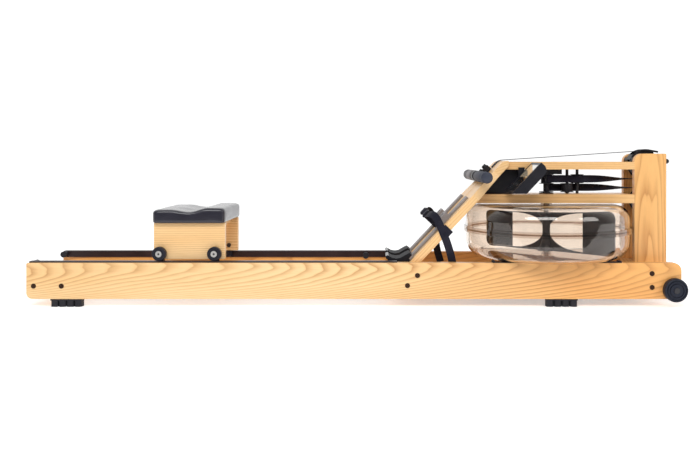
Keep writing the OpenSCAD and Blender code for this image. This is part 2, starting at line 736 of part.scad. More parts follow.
module seat_wheel(x, sy) color([0.1, 0.1, 0.13]) side(sy)
  translate([x, -wheel_y0, axle_z]) rotate([90, 0, 0]) rotate_extrude() difference() {
    rounded(axle_r + run, 0, seat_wheel_r, wheel_y1 - wheel_y0, [0, 3, 3, 0]);
    translate([12, wheel_y1 - wheel_y0 - 1.5]) square([5, 2]);
  }

module seat_wheel_rear_left() seat_wheel(axle_x[0], -1);
module seat_wheel_rear_right() seat_wheel(axle_x[0], 1);
module seat_wheel_front_left() seat_wheel(axle_x[1], -1);
module seat_wheel_front_right() seat_wheel(axle_x[1], 1);

module guide_roller(x, sy) color(dark) side(sy)
  translate([x, -guide_y, guide_z[0]]) difference() {
    cylinder(r = guide_r, h = guide_z[1] - guide_z[0]);
    translate([0, 0, -1]) cylinder(r = 3 + run, h = 30);
  }

module guide_roller_rear_left() guide_roller(axle_x[0], -1);
module guide_roller_rear_right() guide_roller(axle_x[0], 1);
module guide_roller_front_left() guide_roller(axle_x[1], -1);
module guide_roller_front_right() guide_roller(axle_x[1], 1);

// ---------- foot rests ----------

module heel_rest(sy) color([0.4, 0.39, 0.4]) side(sy) on_board() union() {
  block([8, -heel_y - strip_w / 2, gap], [8 + strip_l, -heel_y + strip_w / 2, gap + strip_t]);
  translate([0, -heel_y + 44, 0]) rotate([90, 0, 0]) linear_extrude(88) polygon([
    [-3, 1], [-39.7, 42.8], [-42.3, 60.6], [-37.5, 67.9], [-30.4, 66.1], [-27, 50],
    [-20, 38], [-8, 29], [10, 24], [22.8, 19], [24, 8], [24, 1]]);
}

module heel_rest_left() heel_rest(-1);
module heel_rest_right() heel_rest(1);

module toe_clamps() color([0.42, 0.42, 0.43]) both() on_board() difference() {
  block([166, -heel_y - strip_w / 2 - 6, 0], [201, -heel_y + strip_w / 2 + 6, 23]);
  block([165, -heel_y - strip_w / 2 - 0.4, -1],
        [202, -heel_y + strip_w / 2 + 0.4, strip_t + 2 * gap]);
  block([176, -heel_y - 14, 16], [192, -heel_y + 14, 24]);
}

// the foot strap: over the foot, round the board's edge and down inside the rail
strap_local = [
  [151, 1.3, -26], [151, 16, -27], [151, 32, -30], [151, 46, -37], [151, 55, -48],
  [151, 59, -62], [151, 59, -76], [151, 55, -92], [151, 46, -106], [151, 34, -118],
  [151, 20, -128], [151, 8, -134.5], [151, -1, -137.2]];
// below the edge: [drop, Y]
strap_drop = [
  [17, -137.3], [30, -137.2], [45, -137], [60, -136.4], [80, -135.5], [100, -133.7],
  [120, -132.9], [141, -132.9]];
strap_top = board_pt(151, 0, 0);
// how far forward the two straps lean while they drop: first and second order
strap_lean = [[0.45, -0.0011], [-0.06, 0.0014]];
function strap_pts(k) = concat(
  [for (p = strap_local) board_pt(p[0], p[1], p[2])],
  [for (d = strap_drop) [strap_top[0] + k[0] * d[0] + k[1] * d[0] * d[0], d[1], strap_top[2] - d[0]]]);
function strap_dirs(k) = concat(
  [for (p = strap_local) u],
  [for (d = strap_drop) let (t = smooth(min(1, d[0] / 45)))
    [1, 0, (u[2] / u[0]) * (1 - t) + (k[0] + 2 * k[1] * d[0]) * t]]);

module foot_strap(sy, k) color([0.1, 0.1, 0.13]) side(sy) union() {
  ribbon(strap_pts(k), strap_dirs(k), strap_w, strap_t);
  // the strap's loose end beside the board
  on_board() block([146, -138.3, -34.5], [169.5, -136.4, 1]);
}

module foot_strap_left() foot_strap(-1, strap_lean[0]);
module foot_strap_right() foot_strap(1, strap_lean[1]);

// ---------- the nodes ----------

rail_left();
rail_right();
track_left();
track_right();
rear_spacer();
front_spacer();
footboard();
footboard_cleat();
lower_deck();
upper_deck();
upright_left();
upright_right();
rubber_feet();
frame_bolts();
seat_stops();
storage_bumpers();
tank_lower_shell();
tank_upper_shell();
tank_pads();
spool_bearings();
pulley_guard();
frame_pins();
drive_strap();
recoil_strap();
bungee_cord();
deck_brace();
monitor_arm();
monitor_housing();
monitor_screen();
transport_wheel_left();
transport_wheel_right();
seat_pad();
seat_base();
seat_side_left();
seat_side_right();
seat_bolts();
seat_wheel_rear_left();
seat_wheel_rear_right();
seat_wheel_front_left();
seat_wheel_front_right();
guide_roller_rear_left();
guide_roller_rear_right();
guide_roller_front_left();
guide_roller_front_right();
handle_bar();
handle_grips();
handle_bracket();
top_pulley();
lower_pulley();
front_pulley();
bobbin_upper();
bobbin_lower();
spool();
impeller();
impeller_shaft();
heel_rest_left();
heel_rest_right();
toe_clamps();
foot_strap_left();
foot_strap_right();
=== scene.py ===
"""Looks of a water-resistance rowing machine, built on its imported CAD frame.

X runs from the seat end (-) to the tank end (+), the photograph's camera stands on the -Y side,
and the floor is z = 0. Metres throughout.
"""
import json
import math

import bmesh
import bpy
from mathutils import Matrix, Vector


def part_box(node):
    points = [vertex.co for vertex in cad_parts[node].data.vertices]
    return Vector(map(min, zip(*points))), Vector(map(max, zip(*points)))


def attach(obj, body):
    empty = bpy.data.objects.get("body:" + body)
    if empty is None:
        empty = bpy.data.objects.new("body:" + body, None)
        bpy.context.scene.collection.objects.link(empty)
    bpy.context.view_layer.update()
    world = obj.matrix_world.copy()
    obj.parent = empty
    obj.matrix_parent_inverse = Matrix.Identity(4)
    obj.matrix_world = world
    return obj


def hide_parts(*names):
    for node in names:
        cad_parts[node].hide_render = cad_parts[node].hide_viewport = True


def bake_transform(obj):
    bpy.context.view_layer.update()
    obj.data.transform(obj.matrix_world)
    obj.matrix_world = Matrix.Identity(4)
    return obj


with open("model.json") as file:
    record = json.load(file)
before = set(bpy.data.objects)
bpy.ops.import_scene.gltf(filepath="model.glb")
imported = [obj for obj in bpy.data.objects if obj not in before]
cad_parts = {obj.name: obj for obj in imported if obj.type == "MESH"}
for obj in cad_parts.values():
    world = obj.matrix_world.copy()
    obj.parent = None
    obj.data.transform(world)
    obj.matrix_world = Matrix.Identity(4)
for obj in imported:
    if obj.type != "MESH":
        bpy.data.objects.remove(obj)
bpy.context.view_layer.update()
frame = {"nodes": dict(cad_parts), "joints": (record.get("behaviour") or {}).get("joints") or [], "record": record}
NODES = frame["nodes"]
JOINTS = {joint["name"]: joint for joint in frame["joints"]}
MM = 0.001


# ---------- places taken from the frame ----------

def low(node):
    """The least x, y and z of a CAD node."""
    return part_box(node)[0]


def high(node):
    """The greatest x, y and z of a CAD node."""
    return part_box(node)[1]


def middle(node):
    return (low(node) + high(node)) / 2


SLOPE = Vector(JOINTS["heel_rest_left_adjust"]["axis"]).normalized()   # up the footboard
FACE = Vector((-SLOPE.z, 0, SLOPE.x))                                  # out of its upper face
SLOPE_ANGLE = math.atan2(SLOPE.z, SLOPE.x)
# a point of the footboard's upper face, on the machine's middle plane
BOARD = Vector((0.1693, 0, 0.1349))
TANK_X = JOINTS["impeller_turn"]["pos_m"][0]
TANK_SEAM = low("tank_upper_shell").z                                   # where its halves meet


def on_board(s, n, y=0.0):
    """The point s up the footboard's slope and n out of its face."""
    return BOARD + SLOPE * s + FACE * n + Vector((0, y, 0))


# ---------- materials ----------

class Shader:
    """One procedural material, put together from short calls."""

    def __init__(self, name, **values):
        self.material = bpy.data.materials.new(name)
        self.material.use_nodes = True
        self.tree = self.material.node_tree
        self.surface = self.tree.nodes["Principled BSDF"]
        for key, value in values.items():
            self.surface.inputs[key.replace("_", " ")].default_value = value

    def add(self, kind, inputs=None, **settings):
        node = self.tree.nodes.new("ShaderNode" + kind)
        for key, value in settings.items():
            setattr(node, key, value)
        for key, value in (inputs or {}).items():
            self.feed(node.inputs[key], value)
        return node

    def feed(self, socket, value):
        if isinstance(value, bpy.types.NodeSocket):
            self.tree.links.new(value, socket)
        else:
            socket.default_value = value

    def set(self, key, value):
        self.feed(self.surface.inputs[key], value)

    def place(self, kind="Object"):
        return self.add("TexCoord").outputs[kind]

    def mapped(self, vector, scale=(1, 1, 1), turn=(0, 0, 0), shift=(0, 0, 0)):
        return self.add("Mapping", {
            "Vector": vector, "Scale": scale, "Rotation": turn, "Location": shift}).outputs[0]

    def noise(self, vector, scale, detail=3.0):
        return self.add("TexNoise", {
            "Vector": vector, "Scale": scale, "Detail": detail}).outputs[0]

    def math(self, operation, first, second=0.0):
        return self.add("Math", {0: first, 1: second}, operation=operation).outputs[0]

    def split(self, vector):
        return self.add("SeparateXYZ", {0: vector}).outputs

    def spread(self, value, from_low, from_high, to_low=0.0, to_high=1.0):
        """The value carried from one range to another, and held inside it."""
        return self.add("MapRange", {
            "Value": value, "From Min": from_low, "From Max": from_high,
            "To Min": to_low, "To Max": to_high}).outputs[0]

    def blend(self, factor, first, second):
        """The first colour where factor is 0 and the second where it is 1."""
        node = self.add("Mix", data_type="RGBA")
        self.feed(node.inputs[0], factor)
        self.feed(node.inputs[6], first)
        self.feed(node.inputs[7], second)
        return node.outputs[2]

    def ramp(self, value, stops):
        node = self.add("ValToRGB", {0: value})
        elements = node.color_ramp.elements
        while len(elements) < len(stops):
            elements.new(0.5)
        for element, (position, colour) in zip(elements, stops):
            element.position = position
            element.color = colour
        return node.outputs[0]

    def bump(self, height, strength, distance):
        return self.add("Bump", {
            "Height": height, "Strength": strength, "Distance": distance}).outputs[0]


def rgb(red, green, blue):
    """An opaque colour, in linear light."""
    return (red, green, blue, 1.0)


def grey(value):
    return rgb(value, value, value)


def ring_radius(shader, board, pith, lean, figure):
    """The distance from the pith, made uneven the way a trunk grows."""
    wander = shader.noise(shader.mapped(board, scale=(0.9, 5, 5)), 1.0, 1.0)
    wander = shader.math("MULTIPLY", shader.math("SUBTRACT", wander, 0.5), 0.034 * figure)
    ripple = shader.noise(shader.mapped(board, scale=(4, 34, 34)), 1.0, 1.0)
    ripple = shader.math("MULTIPLY", shader.math("SUBTRACT", ripple, 0.5), 0.0022)
    x, y, z = shader.split(board)[:3]
    across = shader.math("ADD", y, shader.math("MULTIPLY", x, lean[0]))
    across = shader.math("ADD", across, pith[1])
    up = shader.math("ADD", shader.math("MULTIPLY", x, lean[1]), shader.math("ADD", z, pith[2]))
    radius = shader.math("SQRT", shader.math(
        "ADD", shader.math("POWER", shader.math("ABSOLUTE", across), 2.0),
        shader.math("POWER", shader.math("ABSOLUTE", up), 2.0)))
    return shader.math("ADD", radius, shader.math("ADD", wander, ripple))


def early_wood(shader, board, radius, ring):
    """1 in the open early wood of each year's ring, and near 0 in the dense late wood."""
    season = shader.math("FRACT", shader.math("DIVIDE", radius, ring))
    early = shader.ramp(season, [
        (0.0, grey(0.25)), (0.06, grey(1.0)), (0.22, grey(0.62)), (0.5, grey(0.16)),
        (0.86, grey(0.03)), (1.0, grey(0.25))])
    pale_years = shader.spread(shader.noise(shader.mapped(board, scale=(1.2, 12, 12)), 1.0, 1.0),
                               0.3, 0.7, 0.45, 1.0)
    return shader.math("MULTIPLY", early, pale_years)


def ash(name, turn=(0, 0, 0), pith=(0.0, 0.64, 0.02), lean=(0.03, 0.012), shift=(0, 0, 0),
        ring=0.0021, warmth=0.5, figure=1.0, bold=0.85):
    """Oiled ash. The grain runs along X once the coordinates are turned; rings grow round a pith
    that leans through the board, so flat faces show arches and edges show straight lines.
    Warmth is a number, or (x at the pale end, x at the warm end, least, most)."""
    shader = Shader(name, Roughness=0.42, Coat_Weight=0.25, Coat_Roughness=0.22)
    board = shader.mapped(shader.mapped(shader.place(), turn=turn), shift=shift)
    early = early_wood(shader, board, ring_radius(shader, board, pith, lean, figure), ring)
    pores = shader.spread(shader.noise(shader.mapped(board, scale=(35, 1500, 1500)), 1.0, 2.0),
                          0.52, 0.75)
    pores = shader.math("MULTIPLY", pores, shader.spread(early, 0.0, 0.8, 0.15, 1.0))
    fibre = shader.noise(shader.mapped(board, scale=(18, 420, 420)), 1.0, 3.0)
    tone = shader.noise(shader.mapped(board, scale=(1.3, 9, 9)), 1.0, 2.0)
    if isinstance(warmth, tuple):
        pale_x, warm_x, least, most = warmth
        warmth = shader.spread(shader.split(shader.place())[0], pale_x, warm_x, least, most)
    pale = shader.blend(warmth, rgb(0.93, 0.75, 0.45), rgb(0.90, 0.47, 0.14))
    deep = shader.blend(warmth, rgb(0.88, 0.62, 0.31), rgb(0.83, 0.38, 0.095))
    light = shader.blend(shader.spread(tone, 0.3, 0.75, 0.0, 1.0), pale, deep)
    dark = shader.blend(warmth, rgb(0.56, 0.30, 0.11), rgb(0.50, 0.18, 0.035))
    colour = shader.blend(shader.math("MULTIPLY", early, bold), light, dark)
    colour = shader.blend(shader.spread(fibre, 0.3, 0.7, 0.0, 0.22), colour,
                          rgb(0.72, 0.42, 0.15))
    colour = shader.blend(shader.math("MULTIPLY", pores, 0.55), colour, rgb(0.40, 0.19, 0.06))
    shader.set("Base Color", colour)
    shader.set("Roughness", shader.spread(fibre, 0.25, 0.75, 0.36, 0.52))
    height = shader.math("SUBTRACT", shader.math("MULTIPLY", early, -0.35),
                         shader.math("MULTIPLY", pores, 0.65))
    shader.set("Normal", shader.bump(height, 0.35, 0.0004))
    return shader.material


def moulded(name, colour, roughness=0.45, grain=900, depth=0.00006, spread=0.1, coat=0.0):
    """Moulded plastic or rubber with a fine spark texture and slightly uneven gloss."""
    shader = Shader(name, Coat_Weight=coat, Coat_Roughness=0.2, Specular_IOR_Level=0.3)
    place = shader.place()
    fine = shader.noise(place, grain, 2.0)
    wide = shader.noise(place, 16, 3.0)
    dusty = tuple(min(1.0, channel * 1.4 + 0.004) for channel in colour[:3]) + (1.0,)
    shader.set("Base Color", shader.blend(shader.spread(wide, 0.35, 0.8), colour, dusty))
    shader.set("Roughness", shader.spread(wide, 0.3, 0.7, roughness - spread / 2,
                                          roughness + spread / 2))
    shader.set("Normal", shader.bump(fine, 0.3, depth))
    return shader.material


def webbing(name, pitch=0.0016):
    """Woven black strap: u runs along it and v across, both in metres."""
    shader = Shader(name, Roughness=0.78, Sheen_Weight=0.1, Sheen_Roughness=0.4,
                    Specular_IOR_Level=0.2)
    u, v = shader.split(shader.place("UV"))[:2]
    zig = shader.math("PINGPONG", v, pitch * 1.6)
    rib = shader.math("SINE", shader.math("MULTIPLY", shader.math("ADD", u, zig),
                                          2 * math.pi / pitch))
    warp = shader.math("SINE", shader.math("MULTIPLY", v, 2 * math.pi / (pitch * 0.8)))
    weave = shader.spread(shader.math("ADD", rib, shader.math("MULTIPLY", warp, 0.6)), -1.6, 1.6)
    fuzz = shader.noise(shader.mapped(shader.place(), scale=(900, 900, 900)), 1.0, 2.0)
    worn = shader.noise(shader.place(), 22, 3.0)
    colour = shader.blend(weave, rgb(0.004, 0.004, 0.008), rgb(0.016, 0.015, 0.030))
    colour = shader.blend(shader.spread(worn, 0.45, 0.9, 0.0, 0.35), colour, rgb(0.05, 0.05, 0.07))
    shader.set("Base Color", colour)
    height = shader.math("ADD", weave, shader.math("MULTIPLY", fuzz, 0.3))
    shader.set("Normal", shader.bump(height, 0.7, 0.0003))
    return shader.material


def smoked_clear(name):
    """The tank's clear plastic with a warm smoke tint."""
    shader = Shader(name, IOR=1.5, Transmission_Weight=1.0)
    haze = shader.noise(shader.place(), 60, 3.0)
    aside = shader.math("SUBTRACT", shader.split(shader.place())[2], TANK_SEAM)
    aside = shader.math("ABSOLUTE", aside)
    rim = shader.blend(shader.math("LESS_THAN", aside, 0.009), rgb(0.90, 0.815, 0.735),
                       rgb(0.66, 0.54, 0.46))
    joint = shader.math("LESS_THAN", aside, 0.0026)
    shader.set("Base Color", shader.blend(joint, rim, rgb(0.30, 0.19, 0.13)))
    shader.set("Roughness", shader.spread(haze, 0.35, 0.75, 0.0, 0.035))
    shader.set("Normal", shader.bump(shader.noise(shader.place(), 7, 1.0), 0.06, 0.002))
    return shader.material


def vinyl(name):
    """The seat's moulded skin: navy black, satin, with a fine leather grain."""
    shader = Shader(name, Coat_Weight=0.75, Coat_Roughness=0.16, Specular_IOR_Level=0.3)
    place = shader.place()
    cells = shader.add("TexVoronoi", {"Vector": place, "Scale": 620.0},
                       feature="DISTANCE_TO_EDGE").outputs[0]
    wide = shader.noise(place, 14, 3.0)
    colour = shader.blend(shader.spread(wide, 0.3, 0.75), rgb(0.005, 0.004, 0.013),
                          rgb(0.009, 0.008, 0.020))
    shader.set("Base Color", colour)
    shader.set("Roughness", shader.spread(wide, 0.3, 0.7, 0.38, 0.46))
    height = shader.spread(cells, 0.0, 0.22)
    shader.set("Normal", shader.bump(height, 0.16, 0.00012))
    return shader.material


def grip_foam(name):
    """Closed-cell foam with a lighter band near the far end of the handle."""
    shader = Shader(name, Roughness=0.86, Specular_IOR_Level=0.3)
    place = shader.place()
    cells = shader.noise(place, 700, 3.0)
    wide = shader.noise(place, 30, 3.0)
    y = shader.split(place)[1]
    band = shader.math("MULTIPLY", shader.spread(y, 0.075, 0.085),
                       shader.spread(y, 0.165, 0.155))
    near = shader.blend(shader.spread(wide, 0.3, 0.7), rgb(0.034, 0.039, 0.058),
                        rgb(0.055, 0.06, 0.082))
    colour = shader.blend(shader.spread(y, -0.2, 0.05), near, rgb(0.15, 0.145, 0.15))
    colour = shader.blend(shader.math("MULTIPLY", band, 0.6), colour, rgb(0.36, 0.34, 0.35))
    shader.set("Base Color", colour)
    shader.set("Normal", shader.bump(cells, 0.5, 0.0003))
    return shader.material


def heel_plastic(name):
    """Grey moulding whose cup, at the foot of the strip, is black."""
    shader = Shader(name, Specular_IOR_Level=0.45)
    place = shader.place()
    offset = shader.add("VectorMath", {0: place, 1: BOARD}, operation="SUBTRACT").outputs[0]
    rise = shader.add("VectorMath", {0: offset, 1: SLOPE}, operation="DOT_PRODUCT").outputs[1]
    out = shader.add("VectorMath", {0: offset, 1: FACE}, operation="DOT_PRODUCT").outputs[1]
    lip = shader.math("GREATER_THAN", out, 0.062)
    cup = shader.math("MAXIMUM", shader.math("LESS_THAN", rise, 0.0085),
                      shader.math("GREATER_THAN", out, 0.0078))
    wide = shader.noise(place, 16, 3.0)
    pale = shader.blend(shader.spread(wide, 0.35, 0.8), rgb(0.235, 0.21, 0.205),
                        rgb(0.33, 0.30, 0.29))
    shader.set("Base Color", shader.blend(cup, pale, rgb(0.009, 0.009, 0.013)))
    shader.set("Specular IOR Level", shader.spread(cup, 0.0, 1.0, 0.45, 0.2))
    shader.set("Roughness", shader.spread(lip, 0.0, 1.0, 0.62, 0.2))
    shader.set("Normal", shader.bump(shader.noise(place, 700, 2.0), 0.3, 0.00006))
    return shader.material


def capped_steel(name, inner, outer):
    """Steel that is black nearer the machine's middle plane than inner, and beyond outer: on the frame pins that
    is their own black, and on the seat bolts it is painted shade inside the seat's sockets.
    """
    shader = Shader(name)
    place = shader.place()
    aside = shader.math("ABSOLUTE", shader.split(place)[1])
    # black: the pins' own black posts and caps, and on the seat bolts painted shade inside the sockets
    black = shader.math("MAXIMUM", shader.math("LESS_THAN", aside, inner),
                        shader.math("GREATER_THAN", aside, outer))
    streak = shader.noise(shader.mapped(place, scale=(700, 60, 700)), 1.0, 2.0)
    bright = shader.blend(streak, rgb(0.42, 0.41, 0.39), rgb(0.62, 0.61, 0.59))
    shader.set("Base Color", shader.blend(black, bright, rgb(0.02, 0.02, 0.024)))
    shader.set("Metallic", shader.math("SUBTRACT", 1.0, black))
    shader.set("Roughness", shader.spread(streak, 0.2, 0.8, 0.28, 0.45))
    shader.set("Normal", shader.bump(streak, 0.15, 0.0001))
    return shader.material


def turned_steel(name):
    """Bright steel with the fine rings a lathe leaves."""
    shader = Shader(name, Metallic=1.0, Anisotropic=0.4)
    place = shader.place()
    streak = shader.noise(shader.mapped(place, scale=(700, 60, 700)), 1.0, 2.0)
    colour = shader.blend(streak, rgb(0.50, 0.49, 0.47), rgb(0.78, 0.77, 0.75))
    shader.set("Base Color", colour)
    shader.set("Roughness", shader.spread(streak, 0.2, 0.8, 0.22, 0.42))
    shader.set("Normal", shader.bump(streak, 0.15, 0.0001))
    return shader.material


def bronzed_steel(name):
    """Steel with a dark brown surface, as on the rail bolts."""
    shader = Shader(name, Metallic=0.85)
    wide = shader.noise(shader.place(), 180, 3.0)
    shader.set("Base Color", shader.blend(wide, rgb(0.030, 0.015, 0.010),
                                          rgb(0.085, 0.045, 0.028)))
    shader.set("Roughness", shader.spread(wide, 0.2, 0.8, 0.35, 0.6))
    shader.set("Normal", shader.bump(wide, 0.2, 0.0002))
    return shader.material


def display(name):
    """The monitor's glossy face with its pale window, partly painted reflection, and a row of plain round touch
    points, partly painted highlight.
    """
    shader = Shader(name, Coat_Weight=1.0, Coat_Roughness=0.03, Specular_IOR_Level=0.6)
    centre = middle("monitor_screen")
    place = shader.mapped(shader.place(), shift=tuple(-centre))
    place = shader.mapped(place, turn=(0, SLOPE_ANGLE, 0))
    x, y = shader.split(place)[:2]

    def window(x0, x1, y0, y1):
        """1 inside the rectangle and 0 outside it."""
        inside = [shader.math("GREATER_THAN", x, x0), shader.math("LESS_THAN", x, x1),
                  shader.math("GREATER_THAN", y, y0), shader.math("LESS_THAN", y, y1)]
        made = inside[0]
        for part in inside[1:]:
            made = shader.math("MULTIPLY", made, part)
        return made

    # the window's cream is partly an LCD's own colour and partly painted reflection of the wood and white around
    # it
    window_and_painted_reflection = window(0.002, 0.052, -0.056, 0.056)
    beside = shader.math("POWER", shader.math("PINGPONG", y, 0.012), 2.0)
    below = shader.math("POWER", shader.math("ABSOLUTE", shader.math("ADD", x, 0.030)), 2.0)
    disc = shader.math("LESS_THAN", shader.math("ADD", beside, below), 0.000016)
    # the light grey touch points stand partly for keys and partly for painted highlights on the dark face
    keys_and_painted_highlight = shader.math("MULTIPLY", window(-0.046, -0.012, -0.052, 0.052), disc)
    dust = shader.noise(place, 90, 3.0)
    colour = shader.blend(window_and_painted_reflection, rgb(0.012, 0.013, 0.016), rgb(0.62, 0.53, 0.38))
    colour = shader.blend(shader.math("MULTIPLY", keys_and_painted_highlight, 0.6), colour, grey(0.30))
    shader.set("Base Color", colour)
    shader.set("Roughness", shader.spread(dust, 0.3, 0.7, 0.08, 0.2))
    shader.set("Normal", shader.bump(shader.math("ADD", keys_and_painted_highlight, window_and_painted_reflection), 0.3, 0.0003))
    return shader.material


QUARTER = math.pi / 2
WOODS = {
    "rail": ash("ash_rail", lean=(0.03, 0.004), pith=(0, 0.463, -0.125), ring=0.0020,
                warmth=(0.1, 0.7, 0.28, 0.95), figure=0.5, bold=1.0),
    # the far rail's ash is warmer and darker than the near rail's: painted shade of its inner face
    "far_rail_painted_shade": ash("ash_far_rail", lean=(-0.016, 0.006), pith=(0, 0.72, -0.05), ring=0.0021,
                    shift=(0.7, -0.28, 0.02), warmth=1.0),
    "post": ash("ash_post", turn=(0, QUARTER, 0), lean=(0.008, 0.0), shift=(0.13, 0.112, 0.965),
                pith=(0, 0.5, 0.0), warmth=0.85, ring=0.0014, figure=0.5, bold=1.0),
    "deck": ash("ash_deck", lean=(0.004, 0.01), pith=(0, 0.53, -0.25), warmth=0.6, ring=0.0028,
                figure=0.4, bold=0.5),
    "board": ash("ash_board", turn=(0, SLOPE_ANGLE, 0), lean=(0.006, 0.008),
                 pith=(0, 0.52, 0.12), warmth=0.5, ring=0.0021, figure=0.5),
    "cross": ash("ash_cross", turn=(0, 0, QUARTER), lean=(0.03, 0.02), pith=(0, 0.8, 0.1)),
    "seat": ash("ash_seat", lean=(0.0, 0.012), pith=(0, 0.55, -0.42), shift=(0.2, 0, 0),
                warmth=0.28, ring=0.0034, figure=1.0, bold=0.9),
}
BLACK = moulded("black_plastic", rgb(0.008, 0.008, 0.012), 0.42)
BLACK_RUBBER = moulded("black_rubber", rgb(0.012, 0.012, 0.017), 0.62, grain=1400)
WHEEL_RUBBER = moulded("wheel_rubber", rgb(0.006, 0.009, 0.020), 0.5, grain=1400)
URETHANE = moulded("roller_urethane", rgb(0.007, 0.007, 0.014), 0.34, grain=500)
TRACK = moulded("track_urethane", rgb(0.020, 0.010, 0.012), 0.36, grain=700)
GREY = moulded("grey_plastic", rgb(0.225, 0.205, 0.205), 0.46, grain=700)
PADDLE = moulded("impeller_plastic", rgb(0.020, 0.014, 0.017), 0.4, grain=500)
CORD = moulded("cord_rubber", rgb(0.018, 0.018, 0.02), 0.7)
WEBBING = webbing("webbing")
TANK = smoked_clear("smoked_clear_plastic")
VINYL = vinyl("seat_vinyl")
FOAM = grip_foam("grip_foam")
STEEL = turned_steel("steel")
BRONZED = bronzed_steel("bronzed_steel")
HEEL = heel_plastic("heel_plastic")
PINS = capped_steel("capped_pins", 0.012, 0.186)
# black where |y| is under 0.1546, inside the seat's sockets: painted shade
SEAT_BOLTS_WITH_PAINTED_SHADE = capped_steel("seat_bolt_steel_with_painted_shade", 0.1546, 1.0)
DISPLAY = display("display")

FINISH = {
    "rail_left": WOODS["rail"], "rail_right": WOODS["far_rail_painted_shade"],
    "upright_left": WOODS["post"], "upright_right": WOODS["post"],
    "lower_deck": WOODS["deck"], "upper_deck": WOODS["deck"],
    "footboard": WOODS["board"], "footboard_cleat": WOODS["cross"],
    "rear_spacer": WOODS["cross"], "front_spacer": WOODS["cross"],
    "handle_bar": WOODS["cross"], "seat_base": WOODS["cross"],
    "seat_side_left": WOODS["seat"], "seat_side_right": WOODS["seat"],
    "heel_rest_left": HEEL, "heel_rest_right": HEEL,
    "frame_pins": PINS, "seat_bolts": SEAT_BOLTS_WITH_PAINTED_SHADE,
}
BY_SLOT = {
    "rubber_black": BLACK_RUBBER, "wheel_rubber": WHEEL_RUBBER, "roller_urethane": URETHANE,
    "track_urethane": TRACK, "webbing": WEBBING, "cord_rubber": CORD,
    "smoked_clear_plastic": TANK, "impeller_plastic": PADDLE, "steel": STEEL,
    "bronzed_steel": BRONZED, "seat_vinyl": VINYL, "grip_foam": FOAM, "grey_plastic": GREY,
    "screen": DISPLAY, "black_plastic": BLACK,
}
SLOTS = {part["node"]: part["material_slot"] for part in frame["record"]["subparts"]}


def finish_nodes():
    """Every CAD node gets its own finish, or else the one of its slot."""
    for name, node in NODES.items():
        material = FINISH.get(name) or BY_SLOT[SLOTS[name]]
        node.data.materials.clear()
        node.data.materials.append(material)


def ease_edges():
    """Wooden and moulded nodes get the small rounding that sanding or a mould leaves."""
    radii = {"ash_wood": 1.6 * MM, "grey_plastic": 1.0 * MM, "rubber_black": 1.2 * MM,
             "black_plastic": 0.7 * MM, "track_urethane": 0.5 * MM}
    for name, node in NODES.items():
        radius = radii.get(SLOTS[name])
        if radius is None or name in ROUND_NODES:
            continue
        weld = node.modifiers.new("weld", "WELD")
        weld.merge_threshold = 0.00001
        bevel = node.modifiers.new("ease", "BEVEL")
        bevel.width = radius
        bevel.segments = 2
        bevel.limit_method = "ANGLE"
        bevel.angle_limit = math.radians(35)
        bevel.harden_normals = True
        bevel.use_clamp_overlap = True


# nodes that are round already
ROUND_NODES = {"handle_bar", "storage_bumpers", "top_pulley", "lower_pulley", "front_pulley",
               "bobbin_upper", "bobbin_lower", "spool", "pulley_guard", "spool_bearings"}


# ---------- mesh helpers ----------

def add_object(name, data):
    """A new object with this data, in the scene."""
    made = bpy.data.objects.new(name, data)
    bpy.context.scene.collection.objects.link(made)
    return made


def add_mesh(name, mesh, material=None):
    """A new object made of a bmesh, which is freed."""
    data = bpy.data.meshes.new(name)
    mesh.to_mesh(data)
    mesh.free()
    if material is not None:
        data.materials.append(material)
    return add_object(name, data)


def new_piece(name, points, faces, uvs):
    """A smooth piece of webbing; uvs is one (u, v) for each corner of each face."""
    mesh = bpy.data.meshes.new(name)
    mesh.from_pydata([tuple(p) for p in points], [], faces)
    layer = mesh.uv_layers.new(name="UVMap")
    for loop, uv in zip(layer.data, uvs):
        loop.uv = uv
    mesh.validate()
    mesh.update()
    mesh.materials.append(WEBBING)
    mesh.shade_smooth()
    return add_object(name, mesh)


def smooth_path(points, step):
    """Points every step or so along a curve through the given ones."""
    points = [Vector(p) for p in points]
    ends = [points[0] * 2 - points[1]] + points + [points[-1] * 2 - points[-2]]
    made = []
    for i in range(1, len(ends) - 2):
        a, b, c, d = ends[i - 1:i + 3]
        count = max(1, round((c - b).length / step))
        for k in range(count):
            t = k / count
            made.append(0.5 * ((2 * b) + (c - a) * t + (2 * a - 5 * b + 4 * c - d) * t * t
                               + (3 * b - a - 3 * c + d) * t ** 3))
    made.append(points[-1])
    return made


def along(path):
    """The distance from the start of the path to each of its points."""
    made = [0.0]
    for a, b in zip(path, path[1:]):
        made.append(made[-1] + (b - a).length)
    return made


